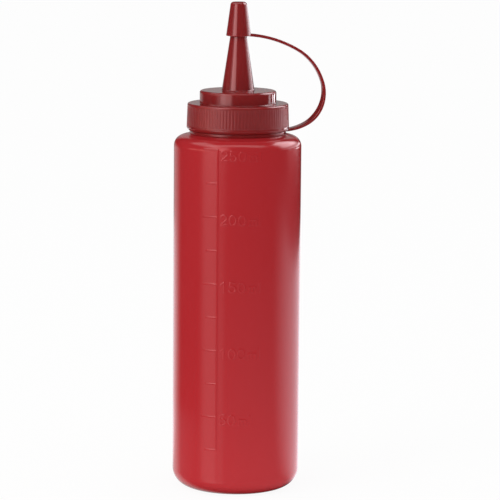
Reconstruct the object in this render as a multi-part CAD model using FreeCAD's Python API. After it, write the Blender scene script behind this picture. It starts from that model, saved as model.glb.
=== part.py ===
import FreeCAD, Part
import math
import os

# Squeeze bottle for sauces, 250 ml size, in three mouldings:
#   bottle        blow-moulded body with its shoulder and the neck under the closure
#   spout_closure ribbed screw closure with a plinth and a tapered nozzle
#   tip_cap       cap on the nozzle's tip, with the strap and the neck ring it is moulded with
# Millimetres, +Z up. The origin is on the bottle's axis, in the plane of the rest ring.
# The strap lies in the XZ plane and bows out towards +X.

# Bottle
body_radius = 25.2
body_wall_top = 136.8
base_corner_radius = 7.0
base_recess_radius = 15.0
base_recess_depth = 1.8
shoulder_corner_radius = 4.25
shoulder_slope = 15.0
neck_radius = 17.6
neck_land_width = 1.28
neck_height = 10.3

# Neck ring of the tip cap, between the shoulder and the closure
ring_radius = 19.0
ring_bore_radius = 17.8
ring_height = 1.4
ring_edge_bevel = 0.35

# Screw closure
skirt_gap = 0.1
skirt_radius = 20.25
skirt_height = 10.5
skirt_bore_radius = 18.8
skirt_draft = 2.0
skirt_top_edge_radius = 0.8
skirt_bottom_bevel_width = 0.6
skirt_bottom_bevel_height = 0.9
roof_thickness = 1.7
rib_count = 96
rib_depth = 0.42
rib_land_share = 0.38
groove_floor_share = 0.30
groove_start = 1.7
groove_end = 0.9
plinth_radius = 15.1
plinth_height = 5.0
plinth_edge_radius = 1.0

# Nozzle, from the plinth to the tip inside the cap
nozzle_base_radius = 6.45
nozzle_slope = 0.15
nozzle_length = 32.8
nozzle_foot_bevel = 0.4

# Tip cap
cap_height = 13.4
cap_bottom_radius = 4.9
cap_top_radius = 3.1
cap_top_edge_radius = 1.3
cap_rim_bevel = 0.3
cap_roof = 2.0
cap_clearance = 0.15

# Strap: level out of the ring, four bends, then straight into the rim of the cap.
# Each bend is a radius and a turn in degrees. The last bend has no radius of its own:
# it takes up what is left of the height between the ring and the cap. The strap is slim
# at the cap and flares between two heights above the ring.
strap_thickness = 1.2
strap_root_reach = 19.8
strap_bends = ((21.3, 26.0), (13.7, 82.9), (23.1, 41.3))
strap_last_turn = 24.8
strap_rise_in_cap = 0.25
strap_width_at_ring = 4.4
strap_width_at_cap = 1.9
strap_flare_start = 19.0
strap_flare_end = 5.0

# Heights that follow from the sizes above
shoulder_edge_radius = (
    body_radius
    - shoulder_corner_radius * (1.0 - math.sin(math.radians(shoulder_slope)))
)
shoulder_edge_height = (
    body_wall_top + shoulder_corner_radius * math.cos(math.radians(shoulder_slope))
)
land_radius = neck_radius + neck_land_width
land_height = shoulder_edge_height + (shoulder_edge_radius - land_radius) * math.tan(
    math.radians(shoulder_slope)
)
neck_top = land_height + neck_height
skirt_bottom = land_height + ring_height + skirt_gap
skirt_top = skirt_bottom + skirt_height
plinth_top = skirt_top + plinth_height
nozzle_tip = plinth_top + nozzle_length
cap_top = nozzle_tip + cap_roof
cap_bottom = cap_top - cap_height
strap_ring_height = land_height + ring_height / 2.0
strap_cap_height = cap_bottom + strap_rise_in_cap


def point(radius, height):
    return FreeCAD.Vector(radius, 0.0, height)


def line(start, end):
    return Part.LineSegment(start, end).toShape()


def arc(centre, radius, start_angle, end_angle):
    """Arc in the XZ plane about a centre, between two angles from +X in degrees."""
    def at(angle):
        turn = math.radians(angle)
        return centre + point(radius * math.cos(turn), radius * math.sin(turn))

    return Part.Arc(
        at(start_angle), at((start_angle + end_angle) / 2.0), at(end_angle)
    ).toShape()


def revolve(edges):
    """Solid of revolution about Z of a closed outline in the XZ plane."""
    face = Part.Face(Part.Wire(edges))
    return face.revolve(FreeCAD.Vector(), FreeCAD.Vector(0, 0, 1), 360)


def revolve_corners(corners):
    """Solid of revolution of a closed outline with straight sides."""
    ends = corners[1:] + corners[:1]
    return revolve([line(point(*a), point(*b)) for a, b in zip(corners, ends)])


def circle_edges(solid, radius, height):
    """The solid's circular edges about Z with this radius at this height."""
    return [
        edge
        for edge in solid.Edges
        if isinstance(edge.Curve, Part.Circle)
        and abs(edge.Curve.Radius - radius) < 0.01
        and abs(edge.Curve.Center.z - height) < 0.01
    ]


def round_off(solid, radius, height, edge_radius):
    return solid.makeFillet(edge_radius, circle_edges(solid, radius, height))


def nozzle_radius(height):
    return nozzle_base_radius - nozzle_slope * (height - plinth_top)


def skirt_radius_at(height):
    return skirt_radius - (height - skirt_bottom) * math.tan(math.radians(skirt_draft))


def make_bottle():
    """Body on a rest ring round a shallow recess, rounded shoulder, land and neck."""
    recess_top = point(0.0, base_recess_depth)
    recess_edge = point(base_recess_radius, 0.0)
    corner_centre = point(body_radius - base_corner_radius, base_corner_radius)
    shoulder_centre = point(body_radius - shoulder_corner_radius, body_wall_top)
    corner_foot = point(body_radius - base_corner_radius, 0.0)
    wall_bottom = point(body_radius, base_corner_radius)
    wall_top = point(body_radius, body_wall_top)
    shoulder_edge = point(shoulder_edge_radius, shoulder_edge_height)
    land_edge = point(land_radius, land_height)
    neck_foot = point(neck_radius, land_height)
    neck_edge = point(neck_radius, neck_top)
    neck_centre = point(0.0, neck_top)
    return revolve([
        line(recess_top, recess_edge),
        line(recess_edge, corner_foot),
        arc(corner_centre, base_corner_radius, -90.0, 0.0),
        line(wall_bottom, wall_top),
        arc(shoulder_centre, shoulder_corner_radius, 0.0, 90.0 - shoulder_slope),
        line(shoulder_edge, land_edge),
        line(land_edge, neck_foot),
        line(neck_foot, neck_edge),
        line(neck_edge, neck_centre),
        line(neck_centre, recess_top),
    ])


def block(bottom, top):
    """Solid with flat faces between two outlines of as many corners each."""
    faces = [Part.Face(Part.makePolygon(ends + ends[:1])) for ends in (bottom, top)]
    for index in range(len(bottom)):
        after = (index + 1) % len(bottom)
        side = [bottom[index], bottom[after], top[after], top[index]]
        faces.append(Part.Face(Part.makePolygon(side + side[:1])))
    return Part.Solid(Part.Shell(faces))


def groove_end_corners(height, run_out):
    """Keystone section of a groove at one end. Its floor lies further along the skirt
    than its mouth by the run-out on either side of the crest."""
    pitch = 2.0 * math.pi / rib_count
    floor = skirt_radius_at(height + run_out) - rib_depth
    outside = skirt_radius_at(height - run_out) + rib_depth
    crest_half_width = skirt_radius * pitch * (1.0 - rib_land_share) / 2.0
    floor_half_width = skirt_radius * pitch * groove_floor_share / 2.0
    outside_half_width = 2.0 * crest_half_width - floor_half_width
    return [
        FreeCAD.Vector(floor, -floor_half_width, height + run_out),
        FreeCAD.Vector(floor, floor_half_width, height + run_out),
        FreeCAD.Vector(outside, outside_half_width, height - run_out),
        FreeCAD.Vector(outside, -outside_half_width, height - run_out),
    ]


def make_grooves():
    """Pattern of the grooves between the ribs, each one drafted as the skirt is and
    with a sloped run-out at both ends."""
    groove = block(
        groove_end_corners(skirt_bottom + groove_start, rib_depth),
        groove_end_corners(skirt_top - groove_end, -rib_depth),
    )
    grooves = []
    for index in range(rib_count):
        copy = groove.copy()
        copy.rotate(
            FreeCAD.Vector(), FreeCAD.Vector(0, 0, 1), 360.0 * index / rib_count
        )
        grooves.append(copy)
    return grooves


def make_closure():
    """Ribbed skirt over the neck, plinth and nozzle in one moulding."""
    roof_underside = skirt_top - roof_thickness
    skirt_top_radius = skirt_radius_at(skirt_top)
    bevel_top = skirt_bottom + skirt_bottom_bevel_height
    nozzle_foot_radius = nozzle_base_radius + nozzle_foot_bevel
    nozzle_foot_top = plinth_top + nozzle_foot_bevel
    solid = revolve_corners([
        (0.0, roof_underside),
        (skirt_bore_radius, roof_underside),
        (skirt_bore_radius, skirt_bottom),
        (skirt_radius - skirt_bottom_bevel_width, skirt_bottom),
        (skirt_radius_at(bevel_top), bevel_top),
        (skirt_top_radius, skirt_top),
        (plinth_radius, skirt_top),
        (plinth_radius, plinth_top),
        (nozzle_foot_radius, plinth_top),
        (nozzle_radius(nozzle_foot_top), nozzle_foot_top),
        (nozzle_radius(nozzle_tip), nozzle_tip),
        (0.0, nozzle_tip),
    ])
    solid = round_off(solid, skirt_top_radius, skirt_top, skirt_top_edge_radius)
    solid = round_off(solid, plinth_radius, plinth_top, plinth_edge_radius)
    return solid.cut(make_grooves())


def make_cap():
    """Tip cap: a cone over the nozzle's tip, which meets its roof."""
    rim_top = cap_bottom + cap_rim_bevel
    outside = revolve_corners([
        (0.0, cap_bottom),
        (cap_bottom_radius - cap_rim_bevel, cap_bottom),
        (cap_bottom_radius, rim_top),
        (cap_top_radius, cap_top),
        (0.0, cap_top),
    ])
    outside = round_off(outside, cap_top_radius, cap_top, cap_top_edge_radius)
    cavity = revolve_corners([
        (0.0, cap_bottom),
        (nozzle_radius(cap_bottom) + cap_clearance, cap_bottom),
        (nozzle_radius(nozzle_tip) + cap_clearance, nozzle_tip),
        (0.0, nozzle_tip),
    ])
    return outside.cut(cavity)


def make_ring():
    """Neck ring, with its outer edges bevelled."""
    top = land_height + ring_height
    return revolve_corners([
        (ring_bore_radius, land_height),
        (ring_radius - ring_edge_bevel, land_height),
        (ring_radius, land_height + ring_edge_bevel),
        (ring_radius, top - ring_edge_bevel),
        (ring_radius - ring_edge_bevel, top),
        (ring_bore_radius, top),
    ])


def strap_bend_radii():
    """All bends of the strap as radius and turn, the last one sized by the height."""
    turned = 0.0
    climb = 0.0
    for radius, turn in strap_bends:
        before = math.cos(math.radians(turned))
        turned += turn
        climb += radius * (before - math.cos(math.radians(turned)))
    before = math.cos(math.radians(turned))
    after = math.cos(math.radians(turned + strap_last_turn))
    last_radius = (strap_cap_height - strap_ring_height - climb) / (before - after)
    return strap_bends + ((last_radius, strap_last_turn),)


def strap_side(offset):
    """Edges of one face of the strap, from the ring to the cap, at an offset outwards
    from its middle line."""
    start_reach = (ring_bore_radius + ring_radius) / 2.0
    end_reach = nozzle_radius(cap_bottom) + 3.0 * cap_clearance
    place = point(strap_root_reach, strap_ring_height)
    turned = 0.0
    edges = [line(point(start_reach, strap_ring_height - offset), place - point(0.0, offset))]
    for radius, turn in strap_bend_radii():
        heading = math.radians(turned)
        centre = place + point(-radius * math.sin(heading), radius * math.cos(heading))
        edges.append(arc(centre, radius + offset, turned - 90.0, turned + turn - 90.0))
        turned += turn
        heading = math.radians(turned)
        place = centre + point(radius * math.sin(heading), -radius * math.cos(heading))
    heading = math.radians(turned)
    side_end = place + point(offset * math.sin(heading), -offset * math.cos(heading))
    run = (end_reach - side_end.x) / math.cos(heading)
    far_end = side_end + point(run * math.cos(heading), run * math.sin(heading))
    edges.append(line(side_end, far_end))
    return edges, far_end


def make_strap():
    """Flat strap in the XZ plane: a bent band of even thickness that flares to the ring."""
    half_thickness = strap_thickness / 2.0
    outer_edges, outer_end = strap_side(half_thickness)
    inner_edges, inner_end = strap_side(-half_thickness)
    root_reach = (ring_bore_radius + ring_radius) / 2.0
    root = line(
        point(root_reach, strap_ring_height - half_thickness),
        point(root_reach, strap_ring_height + half_thickness),
    )
    outline = outer_edges + [line(outer_end, inner_end)] + inner_edges[::-1] + [root]
    wire = Part.Wire(Part.__sortEdges__(outline))
    band = Part.Face(wire).extrude(FreeCAD.Vector(0.0, strap_width_at_ring, 0.0))
    band.translate(FreeCAD.Vector(0.0, -strap_width_at_ring / 2.0, 0.0))
    half_widths = (
        (land_height, strap_width_at_ring / 2.0),
        (strap_ring_height + strap_flare_end, strap_width_at_ring / 2.0),
        (strap_ring_height + strap_flare_start, strap_width_at_cap / 2.0),
        (cap_top, strap_width_at_cap / 2.0),
    )
    corners = [FreeCAD.Vector(0.0, width, height) for height, width in half_widths]
    corners += [FreeCAD.Vector(0.0, -width, height) for height, width in half_widths[::-1]]
    outline_face = Part.Face(Part.makePolygon(corners + corners[:1]))
    flare = outline_face.extrude(FreeCAD.Vector(2.0 * body_radius, 0.0, 0.0))
    return band.common(flare)


def make_tip_cap():
    """Cap, strap and neck ring as the one moulding they are."""
    return make_cap().fuse([make_strap(), make_ring()]).removeSplitter()


def export(name, shape):
    solids = shape.Solids
    if len(solids) != 1 or not solids[0].isValid():
        raise RuntimeError(f"{name}: {len(solids)} solids, valid {shape.isValid()}")
    solids[0].exportStep(f"parts/{name}.step")
    print(f"{name}: {solids[0].Volume:.0f} mm3, {len(solids[0].Faces)} faces")


os.makedirs("parts", exist_ok=True)
export("bottle", make_bottle())
export("spout_closure", make_closure())
export("tip_cap", make_tip_cap())
print("strap bends:", [(round(r, 2), t) for r, t in strap_bend_radii()])
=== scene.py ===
"""Looks of a squeeze bottle with a ribbed closure and a tethered tip cap, built around its
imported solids. Metres, +Z up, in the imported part's own frame. The strap bows out towards +X."""
import math

import bpy
import numpy as np
from mathutils import Matrix, Vector


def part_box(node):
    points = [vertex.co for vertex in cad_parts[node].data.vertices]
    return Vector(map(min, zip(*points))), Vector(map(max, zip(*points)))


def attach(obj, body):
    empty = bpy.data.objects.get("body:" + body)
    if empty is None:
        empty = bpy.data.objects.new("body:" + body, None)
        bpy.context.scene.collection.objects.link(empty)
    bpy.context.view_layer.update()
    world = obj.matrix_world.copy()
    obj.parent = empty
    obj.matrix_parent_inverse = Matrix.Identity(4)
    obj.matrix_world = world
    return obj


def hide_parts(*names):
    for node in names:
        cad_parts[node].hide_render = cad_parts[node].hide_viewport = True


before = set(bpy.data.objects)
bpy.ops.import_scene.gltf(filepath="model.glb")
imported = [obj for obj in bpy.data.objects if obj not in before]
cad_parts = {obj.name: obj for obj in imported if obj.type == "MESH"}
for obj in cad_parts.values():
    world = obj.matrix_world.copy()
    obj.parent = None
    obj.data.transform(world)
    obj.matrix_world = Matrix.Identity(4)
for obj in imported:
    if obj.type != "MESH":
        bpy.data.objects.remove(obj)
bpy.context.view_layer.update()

MM = 0.001

# ---- Sizes, in millimetres, with the outer ones read from the frame ----
bottle_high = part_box("bottle")[1] / MM
closure_low, closure_high = (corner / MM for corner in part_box("spout_closure"))
cap_low, cap_high = (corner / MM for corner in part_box("tip_cap"))

BODY_RADIUS = bottle_high.x
WALL_TOP = 136.8
BASE_CORNER = 7.0
RECESS_RADIUS = 15.0
RECESS_DEPTH = 1.8
SHOULDER_CORNER = 4.25
SHOULDER_SLOPE = 15.0
LAND_RADIUS = 18.88
NECK_RADIUS = 17.6
NECK_TOP = bottle_high.z

SKIRT_RADIUS = 20.25
SKIRT_BOTTOM = closure_low.z
SKIRT_TOP = SKIRT_BOTTOM + 10.5
SKIRT_BORE = 18.8
SKIRT_DRAFT = math.tan(math.radians(2.0))
SKIRT_BEVEL_WIDTH = 0.6
SKIRT_BEVEL_HEIGHT = 0.9
ROOF_THICKNESS = 1.7
RIB_COUNT = 96
RIB_DEPTH = 0.09
RIB_START = SKIRT_BOTTOM + 1.5
RIB_END = SKIRT_TOP - 0.75
RIB_RUN_OUT = 0.72
RIB_DULLNESS = 0.22
PLINTH_RADIUS = 15.1
PLINTH_TOP = SKIRT_TOP + 5.0
NOZZLE_RADIUS = 6.45
NOZZLE_SLOPE = 0.15
NOZZLE_TIP = closure_high.z

RING_BOTTOM = cap_low.z
RING_TOP = RING_BOTTOM + 1.4
RING_RADIUS = 19.0
RING_BORE = 17.8
RING_EDGE = 0.35
CAP_TOP = cap_high.z
CAP_BOTTOM = CAP_TOP - 13.4
CAP_RIM_RADIUS = 4.9
CAP_TOP_RADIUS = 3.1
CAP_CLEARANCE = 0.15

STRAP_THICKNESS = 1.2
STRAP_ROOT = 19.8
STRAP_BENDS = ((21.3, 26.0), (13.7, 82.9), (23.1, 41.3))
STRAP_LAST_TURN = 24.8
STRAP_MIDDLE_AT_RING = (RING_BOTTOM + RING_TOP) / 2.0
STRAP_MIDDLE_AT_CAP = CAP_BOTTOM + 0.25
STRAP_WIDTH_AT_RING = 4.4
STRAP_WIDTH_AT_CAP = 1.9
STRAP_FLARE_END = STRAP_MIDDLE_AT_RING + 5.0
STRAP_FLARE_START = STRAP_MIDDLE_AT_RING + 19.0

# ---- The camera's side, and the moulded volume scale, which faces it ----
CAMERA_AZIMUTH = -22.0
FACING = -90.0 + CAMERA_AZIMUTH

# The spine and the ends of marks and labels are azimuths in degrees round from the camera's
# side, to its right. Heights, drops and widths are in millimetres.
SPINE_AZIMUTH = -17.6
MARK_FIRST = 19.05
MARK_PITCH = 13.2
MARK_COUNT = 10
MAJOR_MARK_END = -31.4
MINOR_MARK_END = -27.8
LABEL_START = -15.0
LABEL_DROP = 1.0
TOP_LABEL_DROP = 2.4
LABEL_HEIGHT = 4.4
LABEL_STRETCH = 1.19
STEP_ML = 50
BEAD_WIDTH = 0.75
BEAD_HEIGHT = 0.22
LABEL_BEAD_HEIGHT = 0.15

# ---- The studio, in metres ----
CARD_DISTANCE = 0.8


# ---- Outlines: lists of (radius, height) points ----
def arc_points(centre, radius, start, end, steps):
    """Points on an arc from one angle to another, in degrees, ends included."""
    angles = np.radians(np.linspace(start, end, steps + 1))
    return [
        (centre[0] + radius * math.cos(a), centre[1] + radius * math.sin(a))
        for a in angles
    ]


def rounded(corners, steps=5):
    """Outline through corners given as (radius, height, edge radius). Each edge is an arc
    with a supporting point beyond either end, so that smooth shading keeps flats flat."""
    points = []
    for index, (x, z, edge) in enumerate(corners):
        here = Vector((x, z))
        if edge == 0:
            points.append((x, z))
            continue
        before = (Vector(corners[index - 1][:2]) - here).normalized()
        after = (Vector(corners[index + 1][:2]) - here).normalized()
        half = before.angle(after) / 2.0
        reach = edge / math.tan(half)
        centre = here + (before + after).normalized() * (edge / math.sin(half))
        start = here + before * reach - centre
        end = here + after * reach - centre
        support = 0.2 * edge
        points.append(tuple(here + before * (reach + support)))
        for step in range(steps + 1):
            spoke = start.lerp(end, step / steps).normalized() * edge
            points.append(tuple(centre + spoke))
        points.append(tuple(here + after * (reach + support)))
    return points


# ---- Meshes ----
def new_object(name, vertices, faces):
    """Smooth-shaded mesh object in the scene."""
    mesh = bpy.data.meshes.new(name)
    mesh.from_pydata([tuple(v) for v in vertices], [], faces)
    mesh.update()
    mesh.shade_smooth()
    piece = bpy.data.objects.new(name, mesh)
    bpy.context.scene.collection.objects.link(piece)
    return piece


def lathe(name, outline, angles, relief=None):
    """Closed mesh of revolution of an outline that runs from the axis to the axis, with a
    column of vertices at each angle in degrees. relief gives heights in mm along the
    outline's outward normal, one row per outline point and one column per angle."""
    outline = np.array(outline, float)
    turns = np.radians(angles)
    tangent = np.gradient(outline, axis=0)
    tangent /= np.linalg.norm(tangent, axis=1)[:, None]
    outward = np.stack([tangent[:, 1], -tangent[:, 0]], axis=1)
    radius = np.repeat(outline[1:-1, :1], len(turns), axis=1)
    height = np.repeat(outline[1:-1, 1:], len(turns), axis=1)
    if relief is not None:
        radius = radius + relief[1:-1] * outward[1:-1, :1]
        height = height + relief[1:-1] * outward[1:-1, 1:]
    rings = np.stack(
        [radius * np.cos(turns), radius * np.sin(turns), height], axis=-1
    ).reshape(-1, 3)
    poles = np.array([[0, 0, outline[0, 1]], [0, 0, outline[-1, 1]]])
    columns = len(turns)
    rows = len(outline) - 2
    first_pole = rows * columns
    last_pole = first_pole + 1
    faces = []
    for row in range(rows - 1):
        base = row * columns
        for column in range(columns):
            after = (column + 1) % columns
            faces.append(
                (base + column, base + after, base + columns + after, base + columns + column)
            )
    last_base = (rows - 1) * columns
    for column in range(columns):
        after = (column + 1) % columns
        faces.append((first_pole, after, column))
        faces.append((last_pole, last_base + column, last_base + after))
    return new_object(name, np.vstack([rings, poles]) * MM, faces)


def even_angles(count):
    """Angles of a full turn, in degrees."""
    return np.arange(count) * 360.0 / count


def union(piece, others):
    """Joins closed meshes into one solid skin."""
    for other in others:
        join = piece.modifiers.new("join", "BOOLEAN")
        join.operation = "UNION"
        join.solver = "EXACT"
        join.object = other
    bpy.context.view_layer.update()
    evaluated = piece.evaluated_get(bpy.context.evaluated_depsgraph_get())
    joined = bpy.data.meshes.new_from_object(evaluated)
    piece.modifiers.clear()
    piece.data = joined
    for other in others:
        bpy.data.objects.remove(other)
    joined.shade_smooth()
    joined.set_sharp_from_angle(angle=math.radians(40.0))


# ---- The moulded volume scale ----
def loop(x, y, wide, tall, start=0.0, end=360.0, steps=20):
    """Elliptical stroke about (x, y), from one angle to another in degrees."""
    angles = np.radians(np.linspace(start, end, steps + 1))
    return [(x + wide * math.cos(a), y + tall * math.sin(a)) for a in angles]


# Strokes of each sign on a height of 1, and how far it moves the pen on.
SIGNS = {
    "0": ([loop(0.28, 0.5, 0.24, 0.43)], 0.68),
    "1": ([[(0.10, 0.72), (0.32, 0.93), (0.32, 0.07)]], 0.68),
    "2": (
        [loop(0.28, 0.68, 0.23, 0.25, 165.0, -35.0, 12) + [(0.06, 0.07), (0.52, 0.07)]],
        0.68,
    ),
    "5": (
        [
            [(0.48, 0.93), (0.12, 0.93), (0.08, 0.53)]
            + loop(0.27, 0.34, 0.24, 0.27, 130.0, -150.0, 14),
        ],
        0.68,
    ),
    "m": (
        [
            [(0.07, 0.07), (0.07, 0.56)],
            [(0.07, 0.40)] + loop(0.20, 0.40, 0.13, 0.15, 180.0, 0.0, 8) + [(0.33, 0.07)],
            [(0.33, 0.40)] + loop(0.46, 0.40, 0.13, 0.15, 180.0, 0.0, 8) + [(0.59, 0.07)],
        ],
        0.76,
    ),
    "l": ([[(0.10, 0.93), (0.10, 0.07)]], 0.25),
    " ": ([], 0.10),
}


def label_strokes(text, start, middle):
    """Strokes of a line of signs, in mm round and up the wall."""
    strokes = []
    pen = 0.0
    for sign in text:
        paths, advance = SIGNS[sign]
        for path in paths:
            strokes.append([
                (
                    start + (pen + x) * LABEL_HEIGHT * LABEL_STRETCH,
                    middle + (y - 0.5) * LABEL_HEIGHT,
                )
                for x, y in path
            ])
        pen += advance
    return strokes


def round_wall(azimuth):
    """Distance round the wall from the side that faces the camera."""
    return math.radians(azimuth) * BODY_RADIUS


def mark_heights():
    """Heights of the scale's marks, from the lowest up."""
    return [MARK_FIRST + MARK_PITCH * index for index in range(MARK_COUNT)]


def scale_labels():
    """(text, middle height) of the label beside each major mark, which is every second."""
    labels = []
    majors = mark_heights()[1::2]
    for index, height in enumerate(majors):
        top = index == len(majors) - 1
        drop = TOP_LABEL_DROP if top else LABEL_DROP
        labels.append((f"{STEP_ML * (index + 1)} ml", height - drop))
    return labels


def mark_strokes():
    """Strokes of the scale's spine and marks."""
    spine = round_wall(SPINE_AZIMUTH)
    heights = mark_heights()
    strokes = [[(spine, heights[0]), (spine, heights[-1])]]
    for index, height in enumerate(heights):
        end = MAJOR_MARK_END if index % 2 else MINOR_MARK_END
        strokes.append([(round_wall(end), height), (spine, height)])
    return strokes


def stroke_relief(across, up, strokes, bead_height):
    """Height of soft moulded beads along strokes, on a grid of wall points."""
    nearest = np.full((len(up), len(across)), np.inf)
    reach = BEAD_WIDTH
    for path in strokes:
        for (x0, y0), (x1, y1) in zip(path, path[1:]):
            columns = np.flatnonzero(
                (across > min(x0, x1) - reach) & (across < max(x0, x1) + reach)
            )
            rows = np.flatnonzero((up > min(y0, y1) - reach) & (up < max(y0, y1) + reach))
            if not len(columns) or not len(rows):
                continue
            run_x, run_y = x1 - x0, y1 - y0
            dx = across[columns][None, :] - x0
            dy = up[rows][:, None] - y0
            share = (dx * run_x + dy * run_y) / max(run_x ** 2 + run_y ** 2, 1e-9)
            share = np.clip(share, 0.0, 1.0)
            gap = np.hypot(dx - share * run_x, dy - share * run_y)
            patch = np.ix_(rows, columns)
            nearest[patch] = np.minimum(nearest[patch], gap)
    rise = np.clip(1.0 - nearest / (BEAD_WIDTH / 2.0), 0.0, 1.0)
    return bead_height * rise * rise * (3.0 - 2.0 * rise)


# ---- Pieces ----
def spaced(start, end, step):
    """Values from start to end, about a step apart."""
    return np.linspace(start, end, max(2, round((end - start) / step) + 1))


def make_bottle():
    """Blow-moulded body, with rows and columns of vertices close together where the
    scale stands on it."""
    fine = 0.17
    coarse = 4.0
    coarse_turn = 2.5
    mark_margin = 0.6
    label_margin = 2.5
    side_margin = 1.5
    label_span = 40.0
    scale_from = MAJOR_MARK_END - side_margin
    scale_to = LABEL_START + label_span
    fine_angles = spaced(scale_from, scale_to, math.degrees(fine / BODY_RADIUS))
    plain_angles = spaced(scale_to, scale_from + 360.0, coarse_turn)[1:-1]
    azimuths = np.concatenate([fine_angles, plain_angles])

    wall = [spaced(BASE_CORNER, WALL_TOP, coarse)]
    for height in mark_heights():
        wall.append(spaced(height - mark_margin, height + mark_margin, fine))
    for _, middle in scale_labels():
        wall.append(spaced(middle - label_margin, middle + label_margin, fine))
    wall = np.unique(np.round(np.concatenate(wall), 3))
    wall = wall[(wall >= BASE_CORNER) & (wall <= WALL_TOP)]
    keep = np.concatenate([[True], np.diff(wall) > 0.6 * fine])
    wall = wall[keep]
    wall[-1] = WALL_TOP

    recess = rounded([
        (0.0, RECESS_DEPTH, 0),
        (RECESS_RADIUS - 1.5, RECESS_DEPTH * 0.55, 1.2),
        (RECESS_RADIUS + 0.6, 0.0, 0.5),
        (BODY_RADIUS - BASE_CORNER, 0.0, 0),
    ])
    base_centre = (BODY_RADIUS - BASE_CORNER, BASE_CORNER)
    base_corner = arc_points(base_centre, BASE_CORNER, -90.0, 0.0, steps=22)
    shoulder_centre = (BODY_RADIUS - SHOULDER_CORNER, WALL_TOP)
    shoulder = arc_points(shoulder_centre, SHOULDER_CORNER, 0.0, 90.0 - SHOULDER_SLOPE, steps=28)
    edge_radius, edge_height = shoulder[-1]
    slope = math.tan(math.radians(SHOULDER_SLOPE))
    land_height = edge_height + (edge_radius - LAND_RADIUS) * slope
    # Close pairs of points keep the faces beside each edge flat under smooth shading.
    upper = [
        (edge_radius - 0.2, edge_height + 0.2 * slope),
        (LAND_RADIUS + 0.05, land_height - 0.05 * slope),
        (LAND_RADIUS, land_height),
        (NECK_RADIUS + 0.1, land_height),
        (NECK_RADIUS, land_height + 0.1),
        (NECK_RADIUS, NECK_TOP - 0.1),
        (NECK_RADIUS - 0.1, NECK_TOP),
        (0.0, NECK_TOP),
    ]
    wall_points = [(BODY_RADIUS, height) for height in wall[1:-1]]
    outline = recess[:-1] + base_corner + wall_points + shoulder + upper

    # Height of each point for the scale's strokes: straight up the wall, and on along the
    # shoulder's curve. Points under the wall get one that no stroke reaches.
    below_scale = -10.0
    up = np.zeros(len(outline))
    walk = 0.0
    for index, (radius, height) in enumerate(outline):
        if height > WALL_TOP:
            walk += math.dist(outline[index - 1], outline[index])
            up[index] = WALL_TOP + walk
        else:
            up[index] = height if radius > BODY_RADIUS - 0.01 else below_scale
    across = np.radians(azimuths) * BODY_RADIUS
    relief = stroke_relief(across, up, mark_strokes(), BEAD_HEIGHT)
    for text, middle in scale_labels():
        strokes = label_strokes(text, round_wall(LABEL_START), middle)
        relief = np.maximum(relief, stroke_relief(across, up, strokes, LABEL_BEAD_HEIGHT))
    return lathe("bottle_body", outline, azimuths + FACING, relief)


def groove_shape():
    """(share of the pitch, share of the depth) of the columns of vertices across one
    rounded rib, from one valley to the next."""
    columns = 8
    return [
        (step / columns, (1.0 - 2.0 * step / columns) ** 2) for step in range(columns)
    ]


def nozzle_at(height):
    """Radius of the nozzle at a height."""
    return NOZZLE_RADIUS - NOZZLE_SLOPE * (height - PLINTH_TOP)


def make_closure():
    """Ribbed skirt, plinth and nozzle."""
    def skirt_at(height):
        return SKIRT_RADIUS - (height - SKIRT_BOTTOM) * SKIRT_DRAFT

    roof = SKIRT_TOP - ROOF_THICKNESS
    bevel_top = SKIRT_BOTTOM + SKIRT_BEVEL_HEIGHT
    inside = rounded([
        (0.0, roof, 0),
        (SKIRT_BORE, roof, 0.3),
        (SKIRT_BORE, SKIRT_BOTTOM, 0.15),
        (SKIRT_RADIUS - SKIRT_BEVEL_WIDTH, SKIRT_BOTTOM, 0.25),
        (skirt_at(bevel_top), bevel_top, 0.5),
        (skirt_at(RIB_START), RIB_START, 0),
    ])
    fine = 0.08
    coarse = 1.0
    settled = 1.4
    rows = np.concatenate([
        spaced(RIB_START + fine, RIB_START + RIB_RUN_OUT, fine),
        spaced(RIB_START + settled, RIB_END - settled, coarse),
        spaced(RIB_END - RIB_RUN_OUT, RIB_END - fine, fine),
    ])
    ribbed = [(skirt_at(height), height) for height in rows]
    above = rounded([
        (skirt_at(RIB_END), RIB_END, 0),
        (skirt_at(SKIRT_TOP), SKIRT_TOP, 0.64),
        (PLINTH_RADIUS, SKIRT_TOP, 0.25),
        (PLINTH_RADIUS, PLINTH_TOP, 0.9),
        (NOZZLE_RADIUS, PLINTH_TOP, 0.55),
        (nozzle_at(NOZZLE_TIP), NOZZLE_TIP, 0.2),
        (0.0, NOZZLE_TIP, 0),
    ])
    outline = inside + ribbed + above
    pitch = 360.0 / RIB_COUNT
    shares = groove_shape()
    angles = np.array([
        (index + share) * pitch for index in range(RIB_COUNT) for share, _ in shares
    ])
    across = np.tile([depth for _, depth in shares], RIB_COUNT)
    height = np.array([z for _, z in outline])
    # The ribs are on the outer wall alone, not on the bore at the same heights.
    between_walls = (SKIRT_BORE + SKIRT_RADIUS) / 2.0
    on_skirt = np.array([r > between_walls for r, _ in outline])
    rise = np.clip(np.minimum(height - RIB_START, RIB_END - height) / RIB_RUN_OUT, 0.0, 1.0)
    along = rise * rise * (3.0 - 2.0 * rise) * on_skirt
    relief = -RIB_DEPTH * np.outer(along, across)
    return lathe("closure_moulding", outline, angles, relief)


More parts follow.
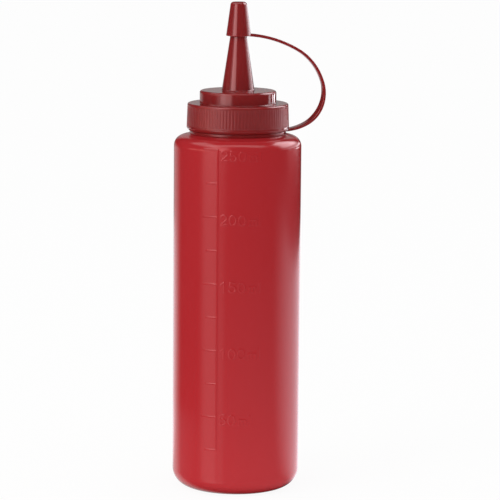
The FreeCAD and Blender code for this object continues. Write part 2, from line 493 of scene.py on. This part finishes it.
def make_cap():
    """Hollow cone over the nozzle's tip."""
    cavity_rim = nozzle_at(CAP_BOTTOM) + CAP_CLEARANCE
    cavity_tip = nozzle_at(NOZZLE_TIP) + CAP_CLEARANCE
    outline = rounded([
        (0.0, NOZZLE_TIP, 0),
        (cavity_tip, NOZZLE_TIP, 0.1),
        (cavity_rim, CAP_BOTTOM, 0.12),
        (CAP_RIM_RADIUS, CAP_BOTTOM, 0.28),
        (CAP_TOP_RADIUS, CAP_TOP, 1.3),
        (0.0, CAP_TOP, 0),
    ], steps=8)
    return lathe("cap_cone", outline, even_angles(128))


def make_ring():
    """Neck ring, closed round its bore."""
    outline = [(RING_BORE, (RING_BOTTOM + RING_TOP) / 2.0)] + rounded([
        (RING_BORE, RING_BOTTOM, 0.15),
        (RING_RADIUS, RING_BOTTOM, RING_EDGE),
        (RING_RADIUS, RING_TOP, RING_EDGE),
        (RING_BORE, RING_TOP, 0),
    ])
    points = np.array(outline)
    columns = 256
    turns = np.radians(even_angles(columns))
    rows = len(points)
    vertices = [
        (r * math.cos(a), r * math.sin(a), z) for r, z in points for a in turns
    ]
    faces = []
    for row in range(rows):
        base = row * columns
        above = ((row + 1) % rows) * columns
        for column in range(columns):
            after = (column + 1) % columns
            faces.append((base + column, base + after, above + after, above + column))
    return new_object("neck_ring", np.array(vertices) * MM, faces)


def strap_path():
    """Points and directions along the middle line of the strap, from ring to cap."""
    turned = 0.0
    climb = 0.0
    for radius, turn in STRAP_BENDS:
        before = math.cos(math.radians(turned))
        turned += turn
        climb += radius * (before - math.cos(math.radians(turned)))
    before = math.cos(math.radians(turned))
    after = math.cos(math.radians(turned + STRAP_LAST_TURN))
    last_radius = (STRAP_MIDDLE_AT_CAP - STRAP_MIDDLE_AT_RING - climb) / (before - after)
    bends = STRAP_BENDS + ((last_radius, STRAP_LAST_TURN),)

    root = (RING_BORE + RING_RADIUS) / 2.0
    stations = [(x, STRAP_MIDDLE_AT_RING, 0.0) for x in np.linspace(root, STRAP_ROOT, 5)[:-1]]
    x, z, turned = STRAP_ROOT, STRAP_MIDDLE_AT_RING, 0.0
    for radius, turn in bends:
        heading = math.radians(turned)
        centre_x = x - radius * math.sin(heading)
        centre_z = z + radius * math.cos(heading)
        steps = max(4, round(turn / 2.0))
        for step in range(steps):
            angle = math.radians(turned + turn * step / steps)
            stations.append((
                centre_x + radius * math.sin(angle),
                centre_z - radius * math.cos(angle),
                angle,
            ))
        turned += turn
        heading = math.radians(turned)
        x = centre_x + radius * math.sin(heading)
        z = centre_z - radius * math.cos(heading)
    heading = math.radians(turned)
    # The strap ends inside the cap's wall, this far out from the cavity.
    cavity_gap = 0.3
    end_reach = nozzle_at(CAP_BOTTOM) + CAP_CLEARANCE + cavity_gap
    for share in (0.0, 0.5, 1.0):
        run = share * (x - end_reach) / abs(math.cos(heading))
        stations.append((
            x + run * math.cos(heading), z + run * math.sin(heading), heading
        ))
    return stations


def make_strap():
    """Flat strap with rounded edges, slim at the cap and flared towards the ring."""
    sides = 24
    squareness = 0.42
    stations = strap_path()
    section = []
    for step in range(sides):
        angle = 2.0 * math.pi * (step + 0.5) / sides
        c, s = math.cos(angle), math.sin(angle)
        section.append((
            math.copysign(abs(c) ** squareness, c), math.copysign(abs(s) ** squareness, s)
        ))
    vertices = []
    for x, z, heading in stations:
        width = np.interp(
            z, (STRAP_FLARE_END, STRAP_FLARE_START), (STRAP_WIDTH_AT_RING, STRAP_WIDTH_AT_CAP)
        )
        for across, out in section:
            offset = out * STRAP_THICKNESS / 2.0
            vertices.append((
                x + offset * math.sin(heading),
                across * width / 2.0,
                z - offset * math.cos(heading),
            ))
    rows = len(stations)
    faces = []
    for row in range(rows - 1):
        base = row * sides
        for column in range(sides):
            after = (column + 1) % sides
            faces.append((
                base + column, base + sides + column,
                base + sides + after, base + after,
            ))
    faces.append(tuple(range(sides)))
    last = (rows - 1) * sides
    faces.append(tuple(last + column for column in reversed(range(sides))))
    return new_object("strap", np.array(vertices) * MM, faces)


def make_tip_cap():
    """Cap, strap and neck ring as one moulding."""
    cap = make_cap()
    union(cap, [make_strap(), make_ring()])
    cap.name = "tethered_tip_cap"
    return cap


# ---- Shader nodes ----
def ease(nodes, links, value, low, high, to_low=0.0, to_high=1.0):
    """Smooth step of a socket from to_low at low to to_high at high."""
    step = nodes.new("ShaderNodeMapRange")
    step.interpolation_type = "SMOOTHSTEP"
    step.inputs["From Min"].default_value = low
    step.inputs["From Max"].default_value = high
    step.inputs["To Min"].default_value = to_low
    step.inputs["To Max"].default_value = to_high
    links.new(value, step.inputs["Value"])
    return step.outputs["Result"]


def combine(nodes, links, operation, first, second):
    """Socket of two values, each a socket or a number, under a math operation."""
    result = nodes.new("ShaderNodeMath")
    result.operation = operation
    for socket, value in zip(result.inputs, (first, second)):
        if isinstance(value, float):
            socket.default_value = value
        else:
            links.new(value, socket)
    return result.outputs["Value"]


def times(nodes, links, first, second):
    """Product of two values, each a socket or a number."""
    return combine(nodes, links, "MULTIPLY", first, second)


def plus(nodes, links, first, second):
    """Sum of two values, each a socket or a number."""
    return combine(nodes, links, "ADD", first, second)


# ---- Materials ----
def new_material(name):
    """Material with its nodes, links and main shader."""
    material = bpy.data.materials.new(name)
    material.use_nodes = True
    nodes = material.node_tree.nodes
    return material, nodes, material.node_tree.links, nodes["Principled BSDF"]


def stretched_noise(nodes, links, stretch, scale, detail):
    """Noise in the object's own frame, drawn out along an axis by a stretch below 1."""
    place = nodes.new("ShaderNodeTexCoord")
    mapping = nodes.new("ShaderNodeMapping")
    mapping.inputs["Scale"].default_value = stretch
    noise = nodes.new("ShaderNodeTexNoise")
    noise.inputs["Scale"].default_value = scale
    noise.inputs["Detail"].default_value = detail
    links.new(place.outputs["Object"], mapping.inputs["Vector"])
    links.new(mapping.outputs["Vector"], noise.inputs["Vector"])
    return noise.outputs["Fac"]


def moulded_plastic(name, colour, tint, roughness, roughness_spread, wave_height, ior,
                    milkiness, milk_depth):
    """Coloured plastic with faint flow streaks between two colours, uneven gloss and a
    slightly wavy skin, a little milky, so that light spreads under it."""
    material, nodes, links, shader = new_material(name)
    streaks = stretched_noise(nodes, links, stretch=(1.0, 1.0, 0.12), scale=90.0, detail=3.0)
    mix = nodes.new("ShaderNodeMix")
    mix.data_type = "RGBA"
    mix.inputs["A"].default_value = (*colour, 1.0)
    mix.inputs["B"].default_value = (*tint, 1.0)
    links.new(streaks, mix.inputs["Factor"])
    links.new(mix.outputs["Result"], shader.inputs["Base Color"])

    gloss = nodes.new("ShaderNodeMapRange")
    gloss.inputs["To Min"].default_value = roughness - roughness_spread
    gloss.inputs["To Max"].default_value = roughness + roughness_spread
    patches = stretched_noise(nodes, links, stretch=(1.0, 1.0, 0.5), scale=160.0, detail=4.0)
    links.new(patches, gloss.inputs["Value"])
    links.new(gloss.outputs["Result"], shader.inputs["Roughness"])

    waves = stretched_noise(nodes, links, stretch=(1.0, 1.0, 0.35), scale=110.0, detail=1.0)
    bump = nodes.new("ShaderNodeBump")
    bump.inputs["Strength"].default_value = 1.0
    bump.inputs["Distance"].default_value = wave_height
    links.new(waves, bump.inputs["Height"])
    links.new(bump.outputs["Normal"], shader.inputs["Normal"])
    shader.inputs["IOR"].default_value = ior
    shader.inputs["Subsurface Weight"].default_value = milkiness
    shader.inputs["Subsurface Radius"].default_value = (1.0, 0.25, 0.2)
    shader.inputs["Subsurface Scale"].default_value = milk_depth
    return material


def body_plastic():
    """Red polyethylene with a soft gloss."""
    return moulded_plastic(
        "body_plastic", colour=(0.412, 0.0178, 0.0225), tint=(0.437, 0.0208, 0.026),
        roughness=0.16, roughness_spread=0.03, wave_height=0.00001, ior=1.5,
        milkiness=0.12, milk_depth=0.002,
    )


def closure_plastic(name):
    """Darker red polypropylene with a harder gloss."""
    return moulded_plastic(
        name, colour=(0.23, 0.017, 0.018), tint=(0.25, 0.019, 0.020),
        roughness=0.10, roughness_spread=0.02, wave_height=0.000005, ior=1.6,
        milkiness=0.5, milk_depth=0.003,
    )


def dull_ribs(material):
    """The band of ribs is duller than the smooth faces above and below it."""
    nodes = material.node_tree.nodes
    links = material.node_tree.links
    roughness = nodes["Principled BSDF"].inputs["Roughness"]
    smooth = roughness.links[0].from_socket
    place = nodes.new("ShaderNodeTexCoord")
    parts = nodes.new("ShaderNodeSeparateXYZ")
    links.new(place.outputs["Object"], parts.inputs["Vector"])
    height = parts.outputs["Z"]
    edge = 0.5 * MM
    start, end = RIB_START * MM, RIB_END * MM
    band = times(
        nodes, links, ease(nodes, links, height, start - edge, start + edge),
        ease(nodes, links, height, end - edge, end + edge, 1.0, 0.0)
    )
    links.new(plus(nodes, links, smooth, times(nodes, links, band, RIB_DULLNESS)), roughness)


# ---- Studio ----
def facing_direction(azimuth, elevation=0.0):
    """Direction from the bottle, by azimuth round from the camera's side and elevation."""
    turn = math.radians(FACING + azimuth)
    lift = math.radians(elevation)
    return Vector((
        math.cos(turn) * math.cos(lift), math.sin(turn) * math.cos(lift), math.sin(lift)
    ))


def area_light(name, azimuth, elevation, distance, width, height, power):
    """Rectangular lamp that looks at the middle of the bottle. It lights surfaces but
    isn't reflected in them: the cards are."""
    lamp = bpy.data.lights.new(name, "AREA")
    lamp.shape = "RECTANGLE"
    lamp.size = width
    lamp.size_y = height
    lamp.energy = power
    holder = bpy.data.objects.new(name, lamp)
    middle = Vector((0.0, 0.0, 0.1))
    out = facing_direction(azimuth, elevation)
    holder.location = middle + out * distance
    holder.rotation_euler = (-out).to_track_quat("-Z", "Y").to_euler()
    holder.visible_camera = False
    holder.visible_glossy = False
    bpy.context.scene.collection.objects.link(holder)


def card(name, azimuth, width, low, high, strength, soft,
         tint=(1.0, 1.0, 1.0), distance=CARD_DISTANCE, elevation=0.0):
    """Glowing card that faces the bottle, seen in reflections alone. low and high are its
    edges above the floor, or from its middle where it hangs overhead, and the floor
    doesn't hide what is below it. soft gives the width of the fade along its left, right,
    lower and upper edges, as the camera sees them mirrored."""
    half = width / 2.0
    corners = [(-half, 0, low), (half, 0, low), (half, 0, high), (-half, 0, high)]
    piece = new_object(name, corners, [(0, 1, 2, 3)])
    piece.location = facing_direction(azimuth, elevation) * distance
    piece.rotation_euler = (
        -math.radians(elevation), 0.0, math.radians(FACING + azimuth + 90.0)
    )
    material = bpy.data.materials.new(name)
    material.use_nodes = True
    nodes = material.node_tree.nodes
    links = material.node_tree.links
    nodes.clear()
    place = nodes.new("ShaderNodeTexCoord")
    parts = nodes.new("ShaderNodeSeparateXYZ")
    links.new(place.outputs["Object"], parts.inputs["Vector"])
    glow = nodes.new("ShaderNodeEmission")
    glow.inputs["Color"].default_value = (*tint, 1.0)
    glow.inputs["Strength"].default_value = strength
    level = strength
    left, right, lower, upper = soft
    for axis, edge, inside in (
        ("X", -half, left), ("X", half, -right), ("Z", low, lower), ("Z", high, -upper)
    ):
        if inside:
            fade = ease(nodes, links, parts.outputs[axis], edge, edge + inside)
            level = times(nodes, links, fade, level)
            links.new(level, glow.inputs["Strength"])
    clear = nodes.new("ShaderNodeBsdfTransparent")
    both = nodes.new("ShaderNodeAddShader")
    output = nodes.new("ShaderNodeOutputMaterial")
    links.new(glow.outputs["Emission"], both.inputs[0])
    links.new(clear.outputs["BSDF"], both.inputs[1])
    links.new(both.outputs["Shader"], output.inputs["Surface"])
    material.cycles.emission_sampling = "NONE"
    piece.data.materials.append(material)
    piece.visible_camera = False
    piece.visible_diffuse = False
    piece.visible_transmission = False
    piece.visible_shadow = False


def make_floor():
    """White floor that keeps the bottle's shadow, lifted to white for the camera alone.
    In reflections it is clear but for the light that lies on it, in four glows."""
    reach = 4.0
    whiteness = 0.93
    camera_share = 0.93
    # Glows are held between the bottle's foot and a disc's soft rim, by distance.
    foot_start, foot_end = 0.021, 0.027
    rim_start, rim_end = 0.7, 0.8
    # Light from the floor on the lower wall, for diffuse rays, by distance.
    bounce, bounce_start, bounce_end = 0.7, 0.04, 0.15
    contact_start, contact_end = 0.025, 0.031
    floor = new_object(
        "floor",
        [(-reach, -reach, 0), (reach, -reach, 0), (reach, reach, 0), (-reach, reach, 0)],
        [(0, 1, 2, 3)],
    )
    material = bpy.data.materials.new("floor_white")
    material.use_nodes = True
    nodes = material.node_tree.nodes
    links = material.node_tree.links
    nodes.clear()
    place = nodes.new("ShaderNodeTexCoord")

    length = nodes.new("ShaderNodeVectorMath")
    length.operation = "LENGTH"
    links.new(place.outputs["Object"], length.inputs[0])
    away = length.outputs["Value"]
    unit = nodes.new("ShaderNodeVectorMath")
    unit.operation = "NORMALIZE"
    links.new(place.outputs["Object"], unit.inputs[0])

    def sector(azimuth, start, level):
        """Glow that grows from nothing to level as a point turns to face an azimuth."""
        facing = nodes.new("ShaderNodeVectorMath")
        facing.operation = "DOT_PRODUCT"
        facing.inputs[1].default_value = facing_direction(azimuth)
        links.new(unit.outputs["Vector"], facing.inputs[0])
        return ease(nodes, links, facing.outputs["Value"], start, 1.0, 0.0, level)

    matt = nodes.new("ShaderNodeBsdfDiffuse")
    matt.inputs["Color"].default_value = (whiteness, whiteness, whiteness, 1.0)
    path = nodes.new("ShaderNodeLightPath")
    toward_side = nodes.new("ShaderNodeVectorMath")
    toward_side.operation = "DOT_PRODUCT"
    toward_side.inputs[1].default_value = facing_direction(132.0)
    links.new(place.outputs["Object"], toward_side.inputs[0])
    # Each glow's azimuth, the cosine from which it grows and its level, then what it fades
    # with and from where to where: wide and dim in front, bright on the right up to a
    # straight edge, a soft one behind, and a short one near the foot on the left.
    glows = 0.0
    for azimuth, start, level, distance, near, far in (
        (36.0, -0.3, 0.34, away, 0.0, 0.85),
        (128.0, 0.45, 1.42, toward_side.outputs["Value"], 0.57, 0.62),
        (-168.0, 0.7, 0.65, away, 0.3, 1.6),
        (-115.0, 0.2, 0.25, away, 0.13, 0.19),
    ):
        fade = ease(nodes, links, distance, near, far, 1.0, 0.0)
        glows = plus(nodes, links, glows, times(nodes, links, sector(azimuth, start, level), fade))
    disc = times(
        nodes, links, ease(nodes, links, away, foot_start, foot_end),
        ease(nodes, links, away, rim_start, rim_end, 1.0, 0.0)
    )
    glows = times(nodes, links, glows, disc)
    reflected = nodes.new("ShaderNodeEmission")
    reflected.inputs["Color"].default_value = (1.0, 0.91, 1.0, 1.0)
    links.new(glows, reflected.inputs["Strength"])
    clear = nodes.new("ShaderNodeBsdfTransparent")
    mirror_view = nodes.new("ShaderNodeAddShader")
    links.new(reflected.outputs["Emission"], mirror_view.inputs[0])
    links.new(clear.outputs["BSDF"], mirror_view.inputs[1])

    lit = nodes.new("ShaderNodeEmission")
    near_glow = times(
        nodes, links, ease(nodes, links, away, bounce_start, bounce_end, bounce, 0.0),
        ease(nodes, links, away, contact_start, contact_end)
    )
    links.new(times(nodes, links, near_glow, path.outputs["Is Diffuse Ray"]),
              lit.inputs["Strength"])
    ground = nodes.new("ShaderNodeAddShader")
    links.new(matt.outputs["BSDF"], ground.inputs[0])
    links.new(lit.outputs["Emission"], ground.inputs[1])

    white = nodes.new("ShaderNodeEmission")
    lift = nodes.new("ShaderNodeMixShader")
    links.new(times(nodes, links, path.outputs["Is Camera Ray"], camera_share),
              lift.inputs["Fac"])
    links.new(ground.outputs["Shader"], lift.inputs[1])
    links.new(white.outputs["Emission"], lift.inputs[2])
    choose = nodes.new("ShaderNodeMixShader")
    links.new(path.outputs["Is Glossy Ray"], choose.inputs["Fac"])
    links.new(lift.outputs["Shader"], choose.inputs[1])
    links.new(mirror_view.outputs["Shader"], choose.inputs[2])
    output = nodes.new("ShaderNodeOutputMaterial")
    links.new(choose.outputs["Shader"], output.inputs["Surface"])
    material.cycles.emission_sampling = "NONE"
    floor.data.materials.append(material)


def make_world():
    """White to the camera and plain, even light. In reflections it is dim but for two soft
    patches behind the bottle: a wide low one, which the side faces mirror at a glancing
    angle, and a small high one, which the flat tops mirror."""
    even_level = 1.0
    world = bpy.data.worlds.new("studio")
    bpy.context.scene.world = world
    world.use_nodes = True
    nodes = world.node_tree.nodes
    links = world.node_tree.links
    nodes.clear()
    place = nodes.new("ShaderNodeTexCoord")

    def patch(azimuth, elevation, start, end, dim, bright):
        """Level that eases from dim to bright as a direction turns to face the patch, by
        the cosine of the angle between them."""
        facing = nodes.new("ShaderNodeVectorMath")
        facing.operation = "DOT_PRODUCT"
        facing.inputs[1].default_value = facing_direction(azimuth, elevation)
        links.new(place.outputs["Generated"], facing.inputs[0])
        return ease(nodes, links, facing.outputs["Value"], start, end, dim, bright)

    backdrop = plus(
        nodes, links, patch(-152.0, -29.0, 0.81, 0.96, 0.02, 0.85),
        patch(180.0, 15.0, 0.93, 0.985, 0.0, 0.45)
    )
    path = nodes.new("ShaderNodeLightPath")
    pick_glossy = nodes.new("ShaderNodeMix")
    pick_glossy.inputs["A"].default_value = even_level
    pick_camera = nodes.new("ShaderNodeMix")
    pick_camera.inputs["B"].default_value = 1.0
    background = nodes.new("ShaderNodeBackground")
    output = nodes.new("ShaderNodeOutputWorld")
    links.new(path.outputs["Is Glossy Ray"], pick_glossy.inputs["Factor"])
    links.new(backdrop, pick_glossy.inputs["B"])
    links.new(path.outputs["Is Camera Ray"], pick_camera.inputs["Factor"])
    links.new(pick_glossy.outputs["Result"], pick_camera.inputs["A"])
    links.new(pick_camera.outputs["Result"], background.inputs["Strength"])
    links.new(background.outputs["Background"], output.inputs["Surface"])


def make_camera():
    """Camera a little above the bottle's level, a metre away, with a long lens."""
    distance = 1.053
    elevation = 8.78
    target_height = 0.0955
    lens = 190.6
    aim_right = 0.00524
    aim_down = 0.00045
    roll = math.radians(0.5)
    camera_data = bpy.data.cameras.new("camera")
    camera_data.lens = lens
    camera_data.sensor_width = 36.0
    camera = bpy.data.objects.new("camera", camera_data)
    out = facing_direction(0.0, elevation)
    right = Vector((0.0, 0.0, 1.0)).cross(out).normalized()
    up = out.cross(right)
    target = Vector((0.0, 0.0, target_height))
    camera.location = target + out * distance
    aim = target + right * aim_right - up * aim_down
    look = (aim - camera.location).to_track_quat("-Z", "Y").to_matrix()
    camera.rotation_euler = (look @ Matrix.Rotation(roll, 3, "Z")).to_euler()
    bpy.context.scene.collection.objects.link(camera)
    bpy.context.scene.camera = camera


def dress(piece, node, material):
    """The piece stands for a CAD node, rides on the one body and takes its finish."""
    piece.data.materials.clear()
    piece.data.materials.append(material)
    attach(piece, "root")
    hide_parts(node)


dress(make_bottle(), "bottle", body_plastic())
ribbed_plastic = closure_plastic("closure_plastic_ribbed")
dull_ribs(ribbed_plastic)
dress(make_closure(), "spout_closure", ribbed_plastic)
dress(make_tip_cap(), "tip_cap", closure_plastic("closure_plastic"))

make_floor()
make_world()

# Left of the camera: the narrow strip beside the scale with its soft trail, the band low on
# the body, and what the neck ring, plinth, shoulder, nozzle and skirt mirror there.
card("strip_left", -55.0, 0.55, -0.6, 1.2, 0.94, soft=(0.29, 0.02, 0.0, 0.0),
     tint=(1.0, 0.8, 0.8))
card("trail_left", -27.5, 0.28, -0.6, 1.2, 0.2, soft=(0.0, 0.12, 0.0, 0.0))
card("band_left", -27.5, 0.154, -0.6, -0.01, 0.3, soft=(0.03, 0.05, 0.0, 0.03))
card("ring_left", -47.0, 0.75, 0.046, 0.06, 2.7, soft=(0.2, 0.2, 0.003, 0.003),
     tint=(1.0, 0.4, 0.35))
card("plinth_left", -34.5, 0.63, 0.066, 0.11, 3.4, soft=(0.09, 0.17, 0.014, 0.015),
     tint=(1.0, 0.58, 0.58))
card("window_left", -34.5, 0.63, 0.26, 1.2, 3.4, soft=(0.09, 0.17, 0.03, 0.8),
     tint=(1.0, 0.56, 0.56))
card("ribs_left", -74.0, 0.85, 0.11, 0.26, 2.8, soft=(0.2, 0.25, 0.02, 0.02),
     tint=(1.0, 0.42, 0.36))

# Right of the camera: the highlights of the neck ring, shoulder, plinth and nozzle.
card("ring_right", 118.0, 0.8, 0.046, 0.06, 2.6, soft=(0.2, 0.1, 0.003, 0.003),
     tint=(1.0, 0.6, 0.65))
card("window_right", 116.0, 1.17, 0.24, 1.25, 5.8, soft=(0.42, 0.38, 0.25, 0.15),
     tint=(1.0, 0.88, 0.93), distance=CARD_DISTANCE + 0.01)
card("plinth_right_front", 109.5, 0.155, 0.066, 0.11, 3.2, soft=(0.02, 0.02, 0.012, 0.02),
     tint=(1.0, 0.9, 0.95))
card("plinth_right_back", 135.5, 0.33, 0.066, 0.11, 7.0, soft=(0.02, 0.03, 0.012, 0.02),
     tint=(1.0, 0.9, 0.95))
card("nozzle_right", 117.0, 1.35, 0.15, 0.33, 3.4, soft=(0.7, 0.06, 0.03, 0.14),
     tint=(1.0, 0.9, 0.95))

# Overhead: the sheen on the shoulder and on rounded top edges.
card("overhead", 0.0, 1.8, -0.18, 0.28, 1.7, soft=(0.2, 0.4, 0.1, 0.1),
     distance=1.0, elevation=66.0)
card("overhead_left", -93.0, 0.8, -0.2, 0.3, 1.6, soft=(0.15, 0.15, 0.15, 0.1),
     distance=1.0, elevation=52.0)

area_light(
    "key_left", azimuth=-50.0, elevation=35.0, distance=1.2, width=0.6, height=0.6, power=3.5
)
make_camera()
bpy.context.scene.view_settings.view_transform = "Standard"
